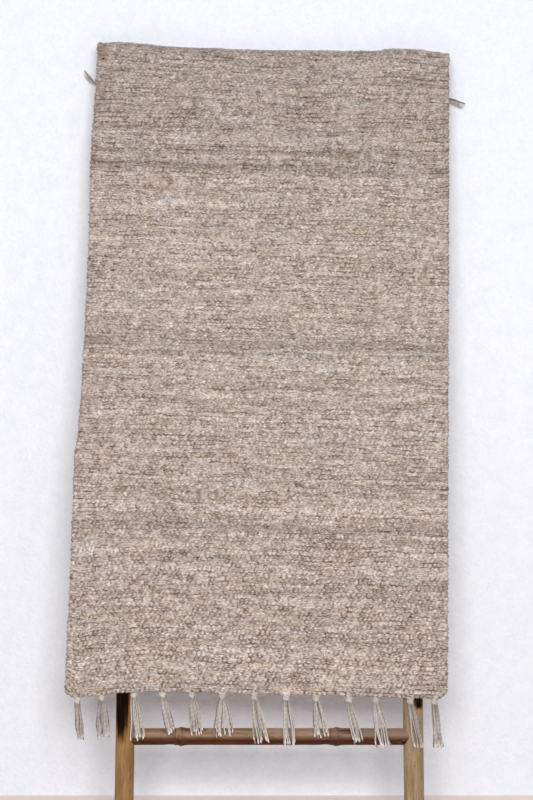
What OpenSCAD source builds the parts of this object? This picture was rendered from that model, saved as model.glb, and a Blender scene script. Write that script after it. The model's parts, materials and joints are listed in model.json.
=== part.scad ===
// Handwoven tapestry with a knotted fringe at both ends, draped over a leaning bamboo ladder.
// Millimetres. +Z is up, the ladder's feet stand on z = 0, and the wall it leans on is at +Y.

/* [Tapestry] */
// Width of the cloth at the fold
cloth_w_top = 690; // [600:1:720]
// Width of the cloth at its lower edge
cloth_w_low = 706; // [600:1:740]
// Thickness of the weave
cloth_t = 8; // [4:0.5:12]
// Length of the front, from the fold to the lower edge
front_l = 1226; // [900:1:1240]
// Length of the flap behind the ladder
flap_l = 62; // [30:1:90]
// Inner radius of the two bends over the ladder's top
bend_r = 5; // [3:0.5:8]
// How far the lower left corner has stretched
droop = 15; // [0:1:20]
// Angle at which the cloth hangs askew, lower edge to the left
askew = 1.43; // [0:0.01:2]
// How far the middle of the fold is to the right of the ladder's middle
cloth_x = 7; // [-15:1:15]

/* [Tassels] */
// Number of tassels along each end
tassels = 13; // [13:1:13]
// Length of a back tassel below the middle of its knot
back_tassel_l = 80; // [50:1:95]
// Diameter of a knot
knot_d = 12; // [8:0.5:12]
// Diameter of a tassel at its cut end
brush_d = 12; // [8:0.5:12]
// Distance from the middle to the last tassel of the back flap
back_reach = 302; // [296:1:310]

/* [Ladder] */
// Angle between the ladder and the wall
lean = 9; // [6:0.5:12]
// Diameter of a pole
pole_d = 37; // [34:0.5:40]
// Distance between the axes of the poles
pole_gap = 535; // [500:1:560]
// Thickness of a pole's wall
pole_wall = 5.5; // [4:0.5:7]
// Diameter of a rung
rung_d = 31; // [26:0.5:32]
// Thickness of a rung's wall
rung_wall = 5; // [4:0.5:6]
// Number of rungs
rungs = 5; // [5:1:5]
// Height of the lowest rung, along the pole
first_rung = 167; // [120:1:200]
// Distance between rungs, along the pole
rung_pitch = 324.5; // [300:0.5:330]
// How far the left pole stands above the top rung
left_over = 11.5; // [0:0.5:11.5]
// How far the right pole ends below the top rung
right_under = 1.7; // [1.7:0.1:5]
// How far a joint ring stands out of a cane
ring_h = 1.4; // [0.5:0.1:1.6]
// Diameter of the peg that holds a rung
peg_d = 6; // [4:0.5:8]

/* [Hidden] */
$fn = 96;
knot_r = knot_d / 2;
pole_r = pole_d / 2;
rung_r = rung_d / 2;
gap = 0.3;                // clearance between pieces that move apart
glue = 0.05;              // clearance of a glued joint
ring_w = 12;              // width of a joint ring at its foot
septum_t = 6;             // thickness of the wall inside a cane at each ring
past_axis = 6;            // how far a rung reaches past a pole's axis
peg_end = -12;            // how far a peg goes, from the rung's axis to the front
cloth_back = pole_r + ring_h + gap;
cloth_face = cloth_back + cloth_t;
corner = cloth_back - bend_r;           // the axes of the two bends, from the cloth's origin
bend_steps = 10;
fold_s = first_rung + (rungs - 1) * rung_pitch + rung_r + gap + rise_to_left() - cloth_back;
pole_top = first_rung + (rungs - 1) * rung_pitch + rung_r;
wall_y = corner * cos(lean) + (fold_s + corner) * sin(lean) + bend_r + cloth_t
    + cloth_w_top / 2 * sin(askew) * sin(lean);
foot_front = pole_r / cos(lean);
shift_y = -(wall_y - foot_front) / 2;   // puts the middle of the depth at y = 0
shift_x = -5.4;                         // puts the middle of the width at x = 0
// Places of the front knots along the lower edge, from its middle, tied by eye.
front_x = [-330, -285, -226, -173, -119, -63, -4, 55, 110, 171, 220, 284, 328];
// Length of each front tassel below the middle of its knot.
front_tassel_l = [74, 76, 83, 74, 72, 73, 84, 89, 72, 81, 86, 92, 86];
// How far each front tassel strays to the right of plumb, in degrees.
front_stray = [5, 3, 6, 13, 8, 4, 10, 5, 7, 12, 10, 10, 5];
// Front tassels beside the ladder hang plumb. The others lie against the rung and the right pole.
beside = [0, 1, 12];
// The back tassels at the ends stick out sideways, this many degrees from plumb.
splay_left = 124;
splay_right = 86;
splay_y = 0;              // from the axis of the bend: they lie on the ladder's side of the flap
splay_knot_d = 9;
splay_brush_d = 8;
back_y = 7;               // from the axis of the bend
droop_from = 190;         // the lower left corner has stretched from here to the edge
droop_over = 140;
// Places of the rings along a rung, from its middle. The rung above has them turned end for end.
rung_rings = [-173, 114];

// The askew cloth lies on the outer corner of the right pole's end, so it is higher at its middle.
function rise_to_left() = (pole_gap / 2 + pole_r - cloth_x) * tan(askew);
function lower_z(x) = -front_l - droop * pow(max(0, -x - droop_from) / droop_over, 1.5);
function arc(y, z, r, a, b) = [for (k = [0 : bend_steps])
    let (t = a + (b - a) * k / bend_steps) [y + r * cos(t), z + r * sin(t)]];
function rung_s(i) = first_rung + (i - 1) * rung_pitch;
function is_beside(i) = len(search(i, beside)) > 0;
function back_x(i) = -back_reach + 2 * back_reach * i / (tassels - 1);

// ---------- frames ----------

// The ladder's own frame: z along the poles, y from its front to its back.
module on_ladder() {
    translate([shift_x, shift_y, 0]) rotate([-lean, 0, 0]) children();
}

// The cloth's own frame: its origin is level with the top of the front, and z runs up the front.
module on_cloth() {
    on_ladder() translate([cloth_x, 0, fold_s]) rotate([0, askew, 0]) children();
}

// The flap's frame: its origin is on the axis of the rear bend, and z is plumb.
module on_flap() {
    on_cloth() translate([0, corner, corner]) rotate([lean, 0, 0]) children();
}

// ---------- bamboo ----------

// Outline of a cane with a raised ring at each joint, from z = a to z = b.
module cane_outline(r, a, b, rings) {
    points = concat(
        [[0, a], [r, a]],
        [for (z = rings) for (p = [[0, -0.5], [0.85, -0.16], [1, 0], [0.8, 0.14], [0, 0.5]])
            [r + p[0] * ring_h, z + p[1] * ring_w]],
        [[r, b], [0, b]]
    );
    polygon(points);
}

// A hollow cane along z: solid outside, with a septum at each ring.
module cane(r, wall, a, b, rings, hollow_a, hollow_b) {
    ends = concat([hollow_a], [for (z = rings) each [z - septum_t / 2, z + septum_t / 2]], [hollow_b]);
    difference() {
        rotate_extrude() cane_outline(r, a, b, rings);
        for (k = [0 : 2 : len(ends) - 1])
            translate([0, 0, ends[k]]) cylinder(r = r - wall, h = ends[k + 1] - ends[k]);
    }
}

// A pole at x = side * pole_gap / 2, hollow between its rings, cut off level at the floor.
module pole(side, top) {
    rings = [for (i = [1 : rungs - 1]) (rung_s(i) + rung_s(i + 1)) / 2 + 14 * side];
    foot_plug = 20;
    intersection() {
        on_ladder() difference() {
            translate([side * pole_gap / 2, 0, 0])
                cane(pole_r, pole_wall, -foot_plug, top, rings, foot_plug, top + 1);
            for (i = [1 : rungs]) {
                translate([side * (pole_gap / 2 + past_axis + gap), 0, rung_s(i)])
                    rotate([0, -side * 90, 0]) cylinder(r = rung_r + glue, h = pole_r * 2);
                translate([side * pole_gap / 2, peg_end - glue, rung_s(i)])
                    rotate([-90, 0, 0]) cylinder(d = peg_d + 2 * glue, h = pole_d);
            }
        }
        translate([0, 0, pole_top / 2 + 50]) cube([1000, 1000, pole_top + 100], center = true);
    }
}

module left_pole() {
    color("#9a7f5b") pole(-1, pole_top + left_over);
}

module right_pole() {
    color("#a38c6b") pole(1, pole_top - right_under);
}

// A rung reaches past the axis of both poles, and a peg goes through each end.
module rung(i) {
    half = pole_gap / 2 + past_axis;
    turned = i % 2 == 0;
    rings = [for (x = turned ? [-rung_rings[1], -rung_rings[0]] : rung_rings) x];
    color("#8a6a48") on_ladder() translate([0, 0, rung_s(i)]) difference() {
        rotate([0, 90, 0]) cane(rung_r, rung_wall, -half, half, rings, -half - 1, half + 1);
        for (side = [-1, 1])
            translate([side * pole_gap / 2, peg_end - glue, 0])
                rotate([-90, 0, 0]) cylinder(d = peg_d + 2 * glue, h = pole_d);
    }
}

// Ten bamboo pegs, driven in from the back.
module rung_pegs() {
    color("#c9ae84") on_ladder()
        for (i = [1 : rungs], side = [-1, 1])
            translate([side * pole_gap / 2, peg_end, rung_s(i)])
                rotate([-90, 0, 0]) cylinder(d = peg_d, h = pole_r - peg_end - 0.5);
}

// ---------- cloth ----------

module front_panel() {
    step = cloth_w_low / 24;
    lower_edge = [for (x = [-cloth_w_low / 2 : step : cloth_w_low / 2 - step]) [x, lower_z(x)]];
    round_corner = 10;
    outline = concat(
        [[cloth_w_top / 2, 0], [-cloth_w_top / 2, 0]],
        lower_edge,
        [[cloth_w_low / 2 - round_corner, -front_l], [cloth_w_low / 2, -front_l + 2 * round_corner]]
    );
    color("#b5a69c") on_cloth()
        translate([0, -cloth_back, 0]) rotate([90, 0, 0]) linear_extrude(cloth_t) polygon(outline);
}

// The cloth goes over the ends of the poles in two bends, and from the ladder's slope to plumb.
module top_fold() {
    outer_r = bend_r + cloth_t;
    section = concat(
        [[-cloth_back, 0], [-cloth_face, 0]],
        arc(-corner, corner, outer_r, 180, 90),
        arc(corner, corner, outer_r, 90, lean),
        arc(corner, corner, bend_r, lean, 90),
        arc(-corner, corner, bend_r, 90, 180)
    );
    color("#a99a90") on_cloth()
        rotate([90, 0, 90]) translate([0, 0, -cloth_w_top / 2]) linear_extrude(cloth_w_top) polygon(section);
}

module back_flap() {
    color("#b5a69c") on_flap()
        translate([-cloth_w_top / 2, bend_r, -flap_l]) cube([cloth_w_top, cloth_t, flap_l]);
}

// A knot with its middle at the origin, and its threads down to z = -length.
module tassel(length, knot, brush) {
    neck_r = knot * 0.28;
    color("#cfc5b8") union() {
        sphere(d = knot);
        translate([0, 0, -length]) cylinder(r1 = brush / 2, r2 = neck_r, h = length);
    }
}

module front_tassel(i) {
    x = front_x[i];
    on_cloth() translate([x, -cloth_back - knot_r + 1, lower_z(x) - knot_r - gap])
        rotate([is_beside(i) ? lean : 0, 0, 0]) rotate([0, -front_stray[i] - askew, 0])
            tassel(front_tassel_l[i], knot_d, brush_d);
}

module back_tassel(i) {
    last = tassels - 1;
    ends = i == 0 || i == last;
    turn = i == 0 ? splay_left : i == last ? -splay_right : askew;
    knot = ends ? splay_knot_d : knot_d;
    on_flap() translate([back_x(i), ends ? splay_y : back_y, -flap_l - knot / 2 - gap])
        rotate([0, turn, 0]) tassel(back_tassel_l, knot, ends ? splay_brush_d : brush_d);
}

left_pole();
right_pole();
for (i = [1 : rungs])
    rung(i);
rung_pegs();
front_panel();
top_fold();
back_flap();
for (i = [0 : tassels - 1]) {
    number = i < 9 ? str("0", i + 1) : str(i + 1);
    front_tassel(i);
    back_tassel(i);
}
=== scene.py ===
"""Looks of a handwoven, fringed tapestry, draped over a leaning bamboo ladder.

Metres. +Z is up, the ladder's feet stand on z = 0, and its wall is at +Y.
"""
import json
import math

import bpy
import numpy as np
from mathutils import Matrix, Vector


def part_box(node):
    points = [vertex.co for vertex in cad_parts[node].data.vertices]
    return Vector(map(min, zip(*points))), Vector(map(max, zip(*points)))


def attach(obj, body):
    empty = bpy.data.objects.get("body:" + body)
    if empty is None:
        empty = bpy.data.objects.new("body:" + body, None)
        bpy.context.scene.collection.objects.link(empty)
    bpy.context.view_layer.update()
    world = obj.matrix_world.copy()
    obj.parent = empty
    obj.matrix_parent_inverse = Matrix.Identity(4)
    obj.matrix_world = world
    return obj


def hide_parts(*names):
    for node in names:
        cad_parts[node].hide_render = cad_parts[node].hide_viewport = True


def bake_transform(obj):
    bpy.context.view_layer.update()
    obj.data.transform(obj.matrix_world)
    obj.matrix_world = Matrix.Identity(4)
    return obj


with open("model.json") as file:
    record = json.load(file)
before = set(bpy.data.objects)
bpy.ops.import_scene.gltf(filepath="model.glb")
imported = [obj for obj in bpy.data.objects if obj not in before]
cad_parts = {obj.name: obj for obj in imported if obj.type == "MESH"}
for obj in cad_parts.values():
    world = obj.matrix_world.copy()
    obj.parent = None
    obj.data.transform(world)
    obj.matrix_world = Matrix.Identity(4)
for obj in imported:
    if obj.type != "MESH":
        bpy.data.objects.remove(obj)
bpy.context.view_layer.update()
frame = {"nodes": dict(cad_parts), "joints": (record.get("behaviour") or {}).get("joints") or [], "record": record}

JOINTS = {j["name"]: j for j in frame["joints"]}
MOUNTS = {m["name"]: m for m in frame["record"]["mounts"]}
SEED = 348

# Canes
POLE_R = 0.0185
LEFT_POLE_R = 0.0177
POLE_WALL = 0.0055
POLE_HOLLOW = 0.02
RUNG_R = 0.0155
RUNGS = 5
LOWEST_RUNG_DROP = 0.0030  # its visible cane below its CAD node
CANE_SIDES = 56
PITH_R = 0.0005  # the ring that closes a cut end
CUT_SKIN = (0.0, 0.4, 0.8)  # burn, joint darkness and tone of a cut end
VIEWER = -math.pi / 2  # direction round a pole that faces the front

# Cloth
CLOTH_LONG = 1.36
HALF_LOW = 0.353
HALF_TOP = 0.345
THICK = 0.008
CLOTH_FACE = 0.0282
FRONT_LONG = 1.226
BEND_MID_R = 0.009  # tight on the rung
ROUND_BEND_R = 0.021  # where nothing presses on it
CORNER = 0.0152
FLAP_LONG = 0.062
CLOTH_ASIDE = 0.007  # from the ladder's middle
CREASES = (0.3130, 0.6480, 1.0030)  # lengths from the lower edge
WARPS = 82
ROWS = 164
ACROSS = 4  # mesh points across a stitch
ALONG = 4  # mesh points along a stitch

# Fringe
TASSELS = 13
THREAD_R = 0.00128
KNOT_TO_EDGE = 0.0063
BESIDE_POLE = (1, 2, TASSELS)
FORWARD = 0.0042  # how far out the other front tips lie
BEFORE_POLE = 0.0010  # the same for the last but one, in front of a pole

# Room
WALL_Y = 0.142
WALL_HIGH = 3.6


# ---- frames

class Local:
    """A frame: points go out of it to the world, and into it."""

    def __init__(self, origin, x, y, z):
        self.origin = np.array(origin, float)
        self.axes = np.array([x, y, z], float)

    def out(self, points):
        return self.origin + np.asarray(points, float) @ self.axes

    def into(self, points):
        return (np.asarray(points, float) - self.origin) @ self.axes.T


def unit(v):
    """v at length 1."""
    v = np.asarray(v, float)
    return v / np.linalg.norm(v)


def ladder_frame():
    """x across, y out of the back, z up the poles, from between the feet."""
    up = unit(JOINTS["tapestry_lift"]["axis"])
    across = np.array([1.0, 0.0, 0.0])
    feet = np.mean([MOUNTS[foot]["pos_m"] for foot in ("foot_left", "foot_right")], axis=0)
    return Local(feet, across, np.cross(up, across), up)


def cloth_frame(ladder):
    """x across, y into the cloth, z up it, from where it starts to fold."""
    swing = JOINTS["front_swing"]
    across = -unit(swing["axis"])
    back = ladder.axes[1]
    origin = np.array(swing["pos_m"]) + back * CLOTH_FACE
    return Local(origin, across, back, np.cross(across, back))


LADDER = ladder_frame()
CLOTH = cloth_frame(LADDER)
LEAN = math.atan2(LADDER.axes[2][1], LADDER.axes[2][2])
CLOTH_TILT = math.atan2(-CLOTH.axes[0][2], CLOTH.axes[0][0])


# ---- meshes

def mesh_object(name, points, faces, material, attributes):
    """A mesh from arrays of points and of faces with equal corners."""
    points = np.ascontiguousarray(points, np.float32)
    faces = np.ascontiguousarray(faces, np.int32)
    mesh = bpy.data.meshes.new(name)
    mesh.vertices.add(len(points))
    mesh.vertices.foreach_set("co", points.ravel())
    mesh.loops.add(faces.size)
    mesh.loops.foreach_set("vertex_index", faces.ravel())
    mesh.polygons.add(len(faces))
    mesh.polygons.foreach_set("loop_start", np.arange(0, faces.size, faces.shape[1], dtype=np.int32))
    mesh.update(calc_edges=True)
    for key, values in attributes.items():
        layer = mesh.attributes.new(key, "FLOAT_VECTOR", "POINT")
        layer.data.foreach_set("vector", np.ascontiguousarray(values, np.float32).ravel())
    mesh.polygons.foreach_set("use_smooth", np.ones(len(faces), bool))
    mesh.materials.append(material)
    obj = bpy.data.objects.new(name, mesh)
    bpy.context.scene.collection.objects.link(obj)
    return obj


def grid_faces(rows, columns, wrap=False):
    """Quads of a grid of points in row order, closed across if wrap."""
    r, c = np.meshgrid(np.arange(rows - 1), np.arange(columns if wrap else columns - 1), indexing="ij")
    a = r * columns + c
    b = r * columns + (c + 1) % columns
    return np.stack([a, b, b + columns, a + columns], axis=-1).reshape(-1, 4)


class Parts:
    """Collects tubes and shells that make one mesh."""

    def __init__(self):
        self.shells = []
        self.count = 0

    def add(self, points, faces, marks):
        self.shells.append((points, faces + self.count, marks))
        self.count += len(points)

    def build(self, name, material, key):
        points, faces, marks = [np.concatenate(whole) for whole in zip(*self.shells)]
        return mesh_object(name, points, faces, material, {key: marks})


def path_frames(path, closed):
    """Two unit vectors across a path at each point, with the least turning."""
    tangent = np.roll(path, -1, 0) - np.roll(path, 1, 0) if closed else np.gradient(path, axis=0)
    tangent /= np.linalg.norm(tangent, axis=1)[:, None]
    least = np.argmin(np.abs(tangent[0]))
    side = np.cross(tangent[0], np.eye(3)[least])
    sides = []
    for t in tangent:
        side = unit(side - t * (side @ t))
        sides.append(side)
    sides = np.array(sides)
    other = np.cross(tangent, sides)
    if closed:
        drift = math.atan2(sides[-1] @ other[0], sides[-1] @ sides[0])
        turn = -drift * np.arange(len(path)) / (len(path) - 1)
        cos, sin = np.cos(turn)[:, None], np.sin(turn)[:, None]
        sides, other = sides * cos + other * sin, other * cos - sides * sin
    return sides, other


def tube(parts, path, radius, sides, mark, lobes, depth, twist, closed=False):
    """A twisted thread: a lobed tube of one radius, or one for each point."""
    n = len(path)
    a, b = path_frames(path, closed)
    step = np.linalg.norm(np.diff(path, axis=0), axis=1)
    along = np.concatenate([[0], np.cumsum(step)])[:, None]
    angle = np.arange(sides) * 2 * math.pi / sides
    wave = 1 + depth * np.cos(lobes * (angle - twist * along / lobes))
    r = (np.broadcast_to(radius, (n,))[:, None] * wave)[:, :, None]
    ring = np.cos(angle)[None, :, None] * a[:, None] + np.sin(angle)[None, :, None] * b[:, None]
    points = (path[:, None] + r * ring).reshape(-1, 3)
    marks = np.zeros((n, sides, 3))
    marks[:, :, 0] = 0.5 if closed else along / along[-1]
    marks[:, :, 1] = (wave - 1) / depth * 0.5 + 0.5
    marks[:, :, 2] = mark
    marks = marks.reshape(-1, 3)
    if closed:
        first = np.arange(sides)
        caps = ring_quads(first + (n - 1) * sides, first)
    else:
        ends = [path[0] - (path[1] - path[0]) * 0.1, path[-1] + (path[-1] - path[-2]) * 0.12]
        points = np.concatenate([points, ends])
        marks = np.concatenate([marks, [[0, 0.5, mark], [1, 0.5, mark]]])
        caps = tube_caps(n, sides)
    parts.add(points, np.concatenate([grid_faces(n, sides, wrap=True), caps]), marks)


def tube_caps(n, sides):
    """Quads that close a tube's ends on the two points after its n rings."""
    pairs = np.arange(0, sides, 2)
    base = (n - 1) * sides
    tip = np.full(len(pairs), n * sides)
    start = np.stack([tip, (pairs + 2) % sides, pairs + 1, pairs], axis=-1)
    end = np.stack([base + pairs, base + pairs + 1, base + (pairs + 2) % sides, tip + 1], axis=-1)
    return np.concatenate([start, end])


def smooth_field(rng, shape, cells):
    """Soft noise from -1 to 1 over an array, with cells = (down, across) lumps."""
    coarse = rng.uniform(-1, 1, (cells[0] + 2, cells[1] + 2))
    rows = np.linspace(0, cells[0], shape[0])
    columns = np.linspace(0, cells[1], shape[1])
    r = np.floor(rows).astype(int)
    c = np.floor(columns).astype(int)
    down, across = [f * f * (3 - 2 * f) for f in ((rows - r)[:, None], columns - c)]
    low = coarse[r][:, c] * (1 - across) + coarse[r][:, c + 1] * across
    high = coarse[r + 1][:, c] * (1 - across) + coarse[r + 1][:, c + 1] * across
    return low * (1 - down) + high * down


def smoothstep(x, a, b):
    """0 up to a, 1 from b, and a soft rise between them."""
    t = np.clip((x - a) / (b - a), 0, 1)
    return t * t * (3 - 2 * t)


def hump(away, reach):
    """1 at a place, falling off around it."""
    return np.exp(-(away / reach) ** 2)


def ring_quads(a, b):
    """Quads between two rings of points."""
    return np.stack([a, np.roll(a, -1), np.roll(b, -1), b], axis=-1)


# ---- shaders

class Shader:
    """A material's node tree, with short calls for its nodes."""

    def __init__(self, name):
        self.material = bpy.data.materials.new(name)
        self.material.use_nodes = True
        self.tree = self.material.node_tree
        self.tree.nodes.clear()
        self.output = self.tree.nodes.new("ShaderNodeOutputMaterial")
        self.bsdf = self.tree.nodes.new("ShaderNodeBsdfPrincipled")
        self.put(self.output.inputs["Surface"], self.bsdf.outputs["BSDF"])

    def put(self, socket, value):
        if isinstance(value, bpy.types.NodeSocket):
            self.tree.links.new(value, socket)
        else:
            socket.default_value = value

    def node(self, kind, output, inputs=(), **settings):
        """One output of a new node, from its settings and (key, value) inputs."""
        node = self.tree.nodes.new("ShaderNode" + kind)
        for key, value in settings.items():
            setattr(node, key, value)
        for key, value in inputs:
            self.put(node.inputs[key], value)
        return node.outputs[output]

    def attribute(self, name):
        """The three numbers of a mesh attribute."""
        vector = self.node("Attribute", "Vector", attribute_name=name)
        return self.node("SeparateXYZ", 0, [(0, vector)]).node.outputs

    def position(self):
        return self.node("TexCoord", "Object")

    def vector(self, *values):
        return self.node("CombineXYZ", 0, enumerate(values))

    def math(self, operation, *values):
        return self.node("Math", 0, enumerate(values), operation=operation)

    def add(self, a, b):
        return self.math("ADD", a, b)

    def times(self, a, b):
        return self.math("MULTIPLY", a, b)

    def swing(self, value, size):
        """A value from 0 to 1, moved to either side of 0."""
        return self.times(self.add(value, -0.5), size)

    def spread(self, value, low, high, to_low=0.0, to_high=1.0, kind="LINEAR"):
        """A value between low and high, moved to between to_low and to_high."""
        inputs = enumerate((value, low, high, to_low, to_high))
        return self.node("MapRange", "Result", inputs, interpolation_type=kind)

    def near(self, value, middle, reach):
        """1 where value is at middle, 0 further from it than reach."""
        away = self.math("ABSOLUTE", self.math("SUBTRACT", value, middle))
        return self.spread(away, 0.0, reach, 1.0, 0.0, "SMOOTHSTEP")

    def noise(self, vector, scale=1.0, detail=2.0, rough=0.5):
        inputs = [("Vector", vector), ("Scale", scale), ("Detail", detail), ("Roughness", rough)]
        return self.node("TexNoise", "Fac", inputs)

    def cell(self, *place):
        """A random number for each whole place."""
        return self.node("TexWhiteNoise", "Value", [("Vector", self.vector(*place))], noise_dimensions="3D")

    def ramp(self, value, stops):
        colour = self.node("ValToRGB", "Color", [("Fac", value)])
        elements = colour.node.color_ramp.elements
        while len(elements) < len(stops):
            elements.new(0.5)
        for element, (place, tone) in zip(elements, stops):
            element.position = place
            element.color = (*tone, 1.0)
        return colour

    def mix(self, share, a, b, kind="MIX"):
        a, b = [(*colour, 1.0) if isinstance(colour, tuple) else colour for colour in (a, b)]
        return self.node("Mix", 2, [(0, share), (6, a), (7, b)], data_type="RGBA", blend_type=kind)

    def tint(self, colour, factors):
        """colour times a factor each for red, green and blue."""
        return self.mix(1.0, colour, factors, "MULTIPLY")

    def shade(self, colour, factor):
        return self.tint(colour, self.vector(factor, factor, factor))

    def bump(self, height, distance, strength):
        inputs = [("Height", height), ("Distance", distance), ("Strength", strength)]
        self.put(self.bsdf.inputs["Normal"], self.node("Bump", "Normal", inputs))

    def set(self, **values):
        for key, value in values.items():
            self.put(self.bsdf.inputs[key.replace("_", " ")], value)
        return self.material


# Yarn from dark to light.
YARN = [
    (0.05, (0.181, 0.140, 0.120)),
    (0.32, (0.346, 0.289, 0.259)),
    (0.56, (0.469, 0.401, 0.365)),
    (0.80, (0.570, 0.508, 0.473)),
    (1.00, (0.697, 0.647, 0.611)),
]
WARM = (1.01, 0.955, 0.87)
COOL = (0.94, 1.0, 1.07)
RUST = (0.33, 0.19, 0.11)
# Painted highlight on the stitches' crowns, and painted shade in the pits between them.
PAINTED_CROWN_HIGHLIGHT = (1.16, 1.145, 1.13)
PAINTED_PIT_SHADE = (0.270, 0.178, 0.130)

# Painted shade in lines along the creases, and a darker band along the lower edge: length from the lower edge,
# reach, strength.
CREASE_SHADE_LINES = [
    (0.3090, 0.014, 0.34),
    (0.6375, 0.007, 1.0),
    (0.6500, 0.006, 1.0),
    (0.6540, 0.022, 0.40),
    (1.0070, 0.013, 0.7),
    (0.0100, 0.030, 0.3),
]


class Yarn(Shader):
    """The cloth's material, with what its steps share."""

    def __init__(self):
        super().__init__("woven_wool")
        self.u, self.v, self.relief = self.attribute("stitch")
        self.x, self.length, self.side = self.attribute("place")
        self.row = self.math("FLOOR", self.v)
        odd = self.math("MODULO", self.row, 2.0)
        self.column = self.math("FLOOR", self.add(self.u, self.times(odd, 0.5)))
        self.half_row = self.math("FLOOR", self.times(self.v, 2.0))
        self.fibre = self.over(0.75, 4.3)
        self.grain = self.over(1.8, 4.4, 5.0)

    def over(self, across, along, layer=0.0, detail=2.0, rough=0.6):
        """Noise with so many lumps per stitch and per row."""
        place = self.vector(self.times(self.u, across), self.times(self.v, along), self.add(self.side, layer))
        return self.noise(place, 1.0, detail, rough)

    def spot(self, x, wide, length, long):
        """1 at a place on the cloth, fading to 0 around it."""
        return self.times(self.near(self.x, x, wide), self.near(self.length, length, long))


def yarn_tone(s):
    """Colour by stitch, by row, and in long streaks along the weft."""
    stitch = s.cell(s.column, s.row, s.side)
    pick = s.cell(s.row, 3.0, s.side)
    place = s.vector(s.times(s.u, 0.08), s.times(s.half_row, 3.7), s.add(s.side, 2.0))
    streak = s.noise(place, 1.0, 3.0, 0.6)
    tone = 0.60
    for value, size in ((stitch, 0.16), (streak, 1.25), (s.over(0.035, 0.22), 0.12), (pick, 0.10),
                        (s.fibre, 1.25), (s.grain, 1.45)):
        tone = s.add(tone, s.swing(value, size))
    return s.ramp(tone, YARN)


def yarn_hue(s, colour):
    """Warmer and cooler streaks, and some rusty hairs."""
    stitch = s.cell(s.column, s.row, s.add(s.side, 7.0))
    streak = s.noise(s.vector(s.times(s.u, 0.09), s.times(s.half_row, 1.7), 9.0), 1.0, 1.0, 0.5)
    hue = s.add(s.times(streak, 0.82), s.times(stitch, 0.18))
    colour = s.mix(s.spread(hue, 0.52, 0.66, 0.0, 0.8), colour, s.tint(colour, WARM))
    colour = s.mix(s.spread(hue, 0.44, 0.30, 0.0, 0.9), colour, s.tint(colour, COOL))
    rust = s.over(0.55, 0.95, 11.0)
    return s.mix(s.spread(rust, 0.66, 0.74, 0.0, 0.42), colour, RUST)


def painted_stitch_shade(s, colour):
    """Painted shade in the pits between the stitches, and painted highlights on their crowns."""
    rough = s.add(s.swing(s.grain, 0.80), s.swing(s.fibre, 0.60))
    # Painted shade in the pits and a painted highlight on the crowns, both from the stitch height.
    pit_shade = s.spread(s.add(s.relief, rough), 0.06, 0.84, 1.0, 0.0)
    return s.mix(pit_shade, s.tint(colour, PAINTED_CROWN_HIGHLIGHT), s.tint(colour, PAINTED_PIT_SHADE))


def painted_edge_shade(s, colour):
    """Painted shade above the top crease and in the furrow along the right edge."""
    # Painted shade: the top panel darker, and a darker line in the right edge's furrow.
    top = s.spread(s.length, 0.975, 1.0, 1.0, 0.89, "SMOOTHSTEP")
    furrow = s.times(s.near(s.u, WARPS - 1.25, 0.5), s.spread(s.fibre, 0.35, 0.65))
    return s.shade(colour, s.times(top, s.spread(furrow, 0.0, 1.0, 1.0, 0.82)))


def painted_crease_shade(s, colour):
    """Painted shade along wavering old creases, a darker band at the lower edge, a painted highlight on the ridge
    above the lowest crease, and the lighter lowest part.
    """
    drift = s.noise(s.vector(s.times(s.u, 0.10), 5.0, s.side), 1.0, 2.0, 0.6)
    waver = s.add(s.length, s.swing(drift, 0.014))
    crease = 0.0
    for place, reach, strength in CREASE_SHADE_LINES:
        crease = s.math("MAXIMUM", crease, s.times(s.near(waver, place, reach), strength))
    # Painted shade along the creases, then a painted highlight on the ridge above the lowest one.
    colour = s.shade(colour, s.spread(crease, 0.0, 1.0, 1.0, 0.74))
    colour = s.shade(colour, s.spread(s.near(waver, 0.3440, 0.024), 0.0, 1.0, 1.0, 1.12))
    return s.shade(colour, s.spread(s.length, 0.30, 0.04, 1.0, 1.11))


def corner_marks(s, colour):
    """A brown stain and a dark snag near the top left corner."""
    front = s.math("LESS_THAN", s.side, 0.5)
    stain = s.spread(s.add(s.spot(-0.331, 0.024, 1.228, 0.034), s.times(s.fibre, 0.5)), 0.45, 1.0)
    colour = s.mix(s.times(s.times(stain, front), 0.60), colour, (0.25, 0.16, 0.10))
    snag = s.spread(s.spot(-0.3305, 0.0040, 1.2150, 0.0034), 0.15, 0.5)
    return s.mix(s.times(snag, front), colour, (0.035, 0.018, 0.010))


def wool():
    """Thick heathered yarn."""
    s = Yarn()
    colour = yarn_tone(s)
    for step in (yarn_hue, painted_stitch_shade, painted_edge_shade, painted_crease_shade, corner_marks):
        colour = step(s, colour)
    hair = s.over(5.0, 22.0, 0.0, 4.0, 0.75)
    s.bump(s.add(s.times(hair, 0.6), s.times(s.grain, 0.9)), 0.0018, 0.8)
    return s.set(Base_Color=colour, Roughness=0.95, Sheen_Weight=0.25, Sheen_Roughness=0.6,
                 Specular_IOR_Level=0.15)


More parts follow.
